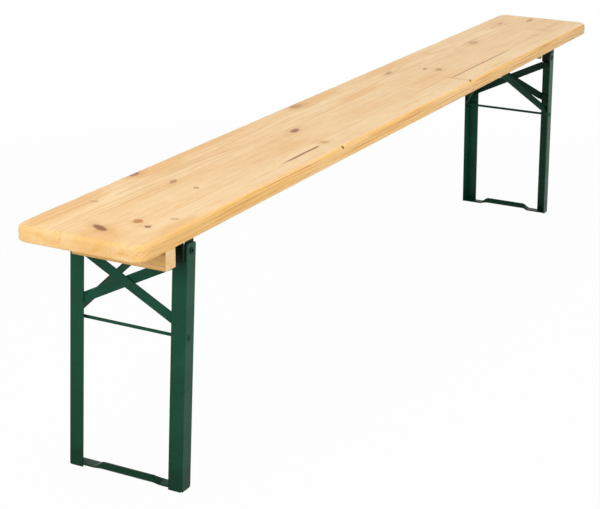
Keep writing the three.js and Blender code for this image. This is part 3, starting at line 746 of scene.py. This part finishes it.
def screwRecipe(look, material):
    recipe = ShapeRecipe("screws")
    headRadius = recipe.value("Head Radius", "Float", look["headRadius"])
    headHeight = recipe.value("Head Height", "Float", look["headHeight"])
    crownHeight = recipe.value("Crown Height", "Float", look["crownHeight"])
    crownRadius = recipe.value("Crown Radius", "Float", look["crownRadius"])
    shankRadius = recipe.value("Shank Radius", "Float", look["shankRadius"])
    shankLength = recipe.value("Shank Length", "Float", look["shankLength"])
    recessLength = recipe.value("Recess Length", "Float", look["recessLength"])
    recessWidth = recipe.value("Recess Width", "Float", look["recessWidth"])
    recessDepth = recipe.value("Recess Depth", "Float", look["recessDepth"])
    sides = recipe.value("Sides", "Int", look["sides"])
    seed = recipe.value("Seed", "Int", look["seed"])
    finish = recipe.value("Material", "Material", material)

    def cone(bottom, top, depth, lift):
        shape = recipe.node("GeometryNodeMeshCone", {}, {
            "Vertices": sides, "Radius Top": top, "Radius Bottom": bottom, "Depth": depth})
        return recipe.moved(shape, "Translation", recipe.vector(0.0, 0.0, lift))

    # the seat of the head is at height zero, the crown hangs below it
    bottom = (crownHeight + headHeight) * -1.0
    crown = cone(crownRadius, headRadius, crownHeight, bottom)
    head = cone(headRadius, headRadius, headHeight, headHeight * -1.0)
    shank = cone(shankRadius, shankRadius, shankLength + headHeight, headHeight * -0.5)
    body = recipe.joined("UNION", {"Mesh 2": [crown, head, shank]})
    barSize = recipe.vector(recessLength, recessWidth, recessDepth * 2.0)
    bar = recipe.node("GeometryNodeMeshCube", {}, {"Size": barSize})
    crossed = recipe.moved(bar, "Rotation", (0, 0, math.pi / 2))
    cross = recipe.joined("UNION", {"Mesh 2": [bar, crossed]})
    placed = recipe.moved(cross, "Translation", recipe.vector(0.0, 0.0, bottom))
    screw = recipe.joined("DIFFERENCE", {"Mesh 1": body, "Mesh 2": placed})

    # every screw is turned in by a different amount
    chance = {2: 0.0, 3: math.pi, "Seed": seed}
    turn = recipe.node("FunctionNodeRandomValue", {"data_type": "FLOAT"}, chance, 1)
    points = recipe.node("GeometryNodeMeshToPoints", {}, {"Mesh": recipe.source})
    screws = recipe.node("GeometryNodeInstanceOnPoints", {}, {
        "Points": points, "Instance": screw, "Rotation": recipe.vector(0.0, 0.0, turn)})
    real = recipe.node("GeometryNodeRealizeInstances", {}, {"Geometry": screws})
    coated = recipe.node("GeometryNodeSetMaterial", {}, {"Geometry": real, "Material": finish})
    recipe.node("NodeGroupOutput", {}, {0: coated})
    return recipe


screwsOf = {}
for name, node in nodes.items():
    if "_screw_" in name:
        screwsOf.setdefault(node["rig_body"], []).append(name)
screwShape = screwRecipe(screwLook, zincPlate)
for body, names in screwsOf.items():
    places = []
    for low, high in map(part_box, names):
        seat = low.z + screwLook["headHeight"] + screwLook["crownHeight"]
        places.append(((low.x + high.x) / 2, (low.y + high.y) / 2, seat))
    points = bpy.data.meshes.new("screwPlaces")
    points.from_pydata(places, [], [])
    dressed(f"{body}_screws", screwShape.evaluated("screws", points), names)
print("screws made")

# Camera, worked out from the bench's own edges in the photograph
cameraLook = {
    "place": (-3.043885, -1.420391, 1.271608),
    "heading": 0.482045,
    "tilt": -0.330978,
    "roll": 0.011856,
    "focalPixels": 1582.18,
    "imageWidth": 600,
    "sensorWidth": 36,
    "viewEnd": 100,
}


def photoCamera(look):
    heading = look["heading"]
    tilt = look["tilt"]
    forward = Vector((math.cos(tilt) * math.cos(heading), math.cos(tilt) * math.sin(heading), math.sin(tilt)))
    right = forward.cross(Vector((0, 0, 1))).normalized()
    up = right.cross(forward)
    cosRoll = math.cos(look["roll"])
    sinRoll = math.sin(look["roll"])
    axes = (right * cosRoll + up * sinRoll, up * cosRoll - right * sinRoll, -forward)
    turned = Matrix(axes).transposed()
    data = bpy.data.cameras.new("photoCamera")
    data.sensor_width = look["sensorWidth"]
    data.lens = look["focalPixels"] / look["imageWidth"] * look["sensorWidth"]
    data.clip_end = look["viewEnd"]
    made = newObject("photoCamera", data)
    made.matrix_world = Matrix.Translation(look["place"]) @ turned.to_4x4()
    scene.camera = made


photoCamera(cameraLook)

# Studio: pale floor, soft lights
studio = {
    "floorSize": 60,
    "floorColour": (0.50, 0.50, 0.50),
    "floorWhiteShare": 0.975,        # how much plain white shows over the floor's own light
    "shadowReach": (1.3, 2.6),       # past the second distance the floor is plain white
    "worldStrength": 0.168,
    "backgroundRays": (0, 3, 6),     # Light Path outputs for plain white: camera, glossy, transmission
    "lights": {
        # energy, width and height, place, aim
        "overhead": (45, (4.8, 1.6), (0.58, 0.2, 2.5), (0.58, 0.0, 0.0)),
        "frontSide": (87, (3.2, 1.4), (-0.5, -3.4, 1.3), (-0.3, 0.0, 0.45)),
        "nearEnd": (30, (1.4, 1.4), (-2.6, 0.2, 1.2), (-1.0, 0.0, 0.45)),
    },
}


def seesWhite(recipe, look):
    # one for the rays that see plain white, nought for those that light the bench
    seen = 0.0
    for output in look["backgroundRays"]:
        seen = recipe.node("ShaderNodeLightPath", {}, {}, output).maths("MAXIMUM", seen)
    return seen


def studioFloor(look):
    half = look["floorSize"] / 2
    corners = [(-half, -half, 0), (half, -half, 0), (half, half, 0), (-half, half, 0)]
    data = bpy.data.meshes.new("floor")
    data.from_pydata(corners, [], [(0, 1, 2, 3)])
    recipe = shaderRecipe(bpy.data.materials.new("floorWhite"))
    diffuse = recipe.node("ShaderNodeBsdfDiffuse", {}, {"Color": (*look["floorColour"], 1)})
    white = recipe.node("ShaderNodeEmission", {}, {"Color": (1, 1, 1, 1), "Strength": 1.0})
    away = recipe.step(recipe.length(recipe.place()), *look["shadowReach"])
    share = seesWhite(recipe, look) * (away * (1 - look["floorWhiteShare"]) + look["floorWhiteShare"])
    mixed = recipe.node("ShaderNodeMixShader", {}, {0: share, 1: diffuse, 2: white})
    recipe.node("ShaderNodeOutputMaterial", {}, {"Surface": mixed})
    data.materials.append(recipe.owner)
    newObject("floor", data)


def softLight(name, energy, size, place, aim):
    data = bpy.data.lights.new(name, "AREA")
    data.energy = energy
    data.shape = "RECTANGLE"
    data.size, data.size_y = size
    made = newObject(name, data)
    made.visible_glossy = False          # polished faces mirror the white room, not the lamps
    turned = (Vector(aim) - Vector(place)).to_track_quat("-Z", "Y").to_matrix()
    made.matrix_world = Matrix.Translation(place) @ turned.to_4x4()


def studioWorld(look):
    recipe = shaderRecipe(bpy.data.worlds.new("studioWorld"))
    strength = recipe.node("ShaderNodeMix", {}, {
        0: seesWhite(recipe, look), 2: look["worldStrength"], 3: 1.0})
    background = recipe.node("ShaderNodeBackground", {}, {"Color": (1, 1, 1, 1), "Strength": strength})
    recipe.node("ShaderNodeOutputWorld", {}, {0: background})
    scene.world = recipe.owner


studioFloor(studio)
studioWorld(studio)
for name, light in studio["lights"].items():
    softLight(name, *light)
scene.view_settings.view_transform = "Standard"
print("studio made")
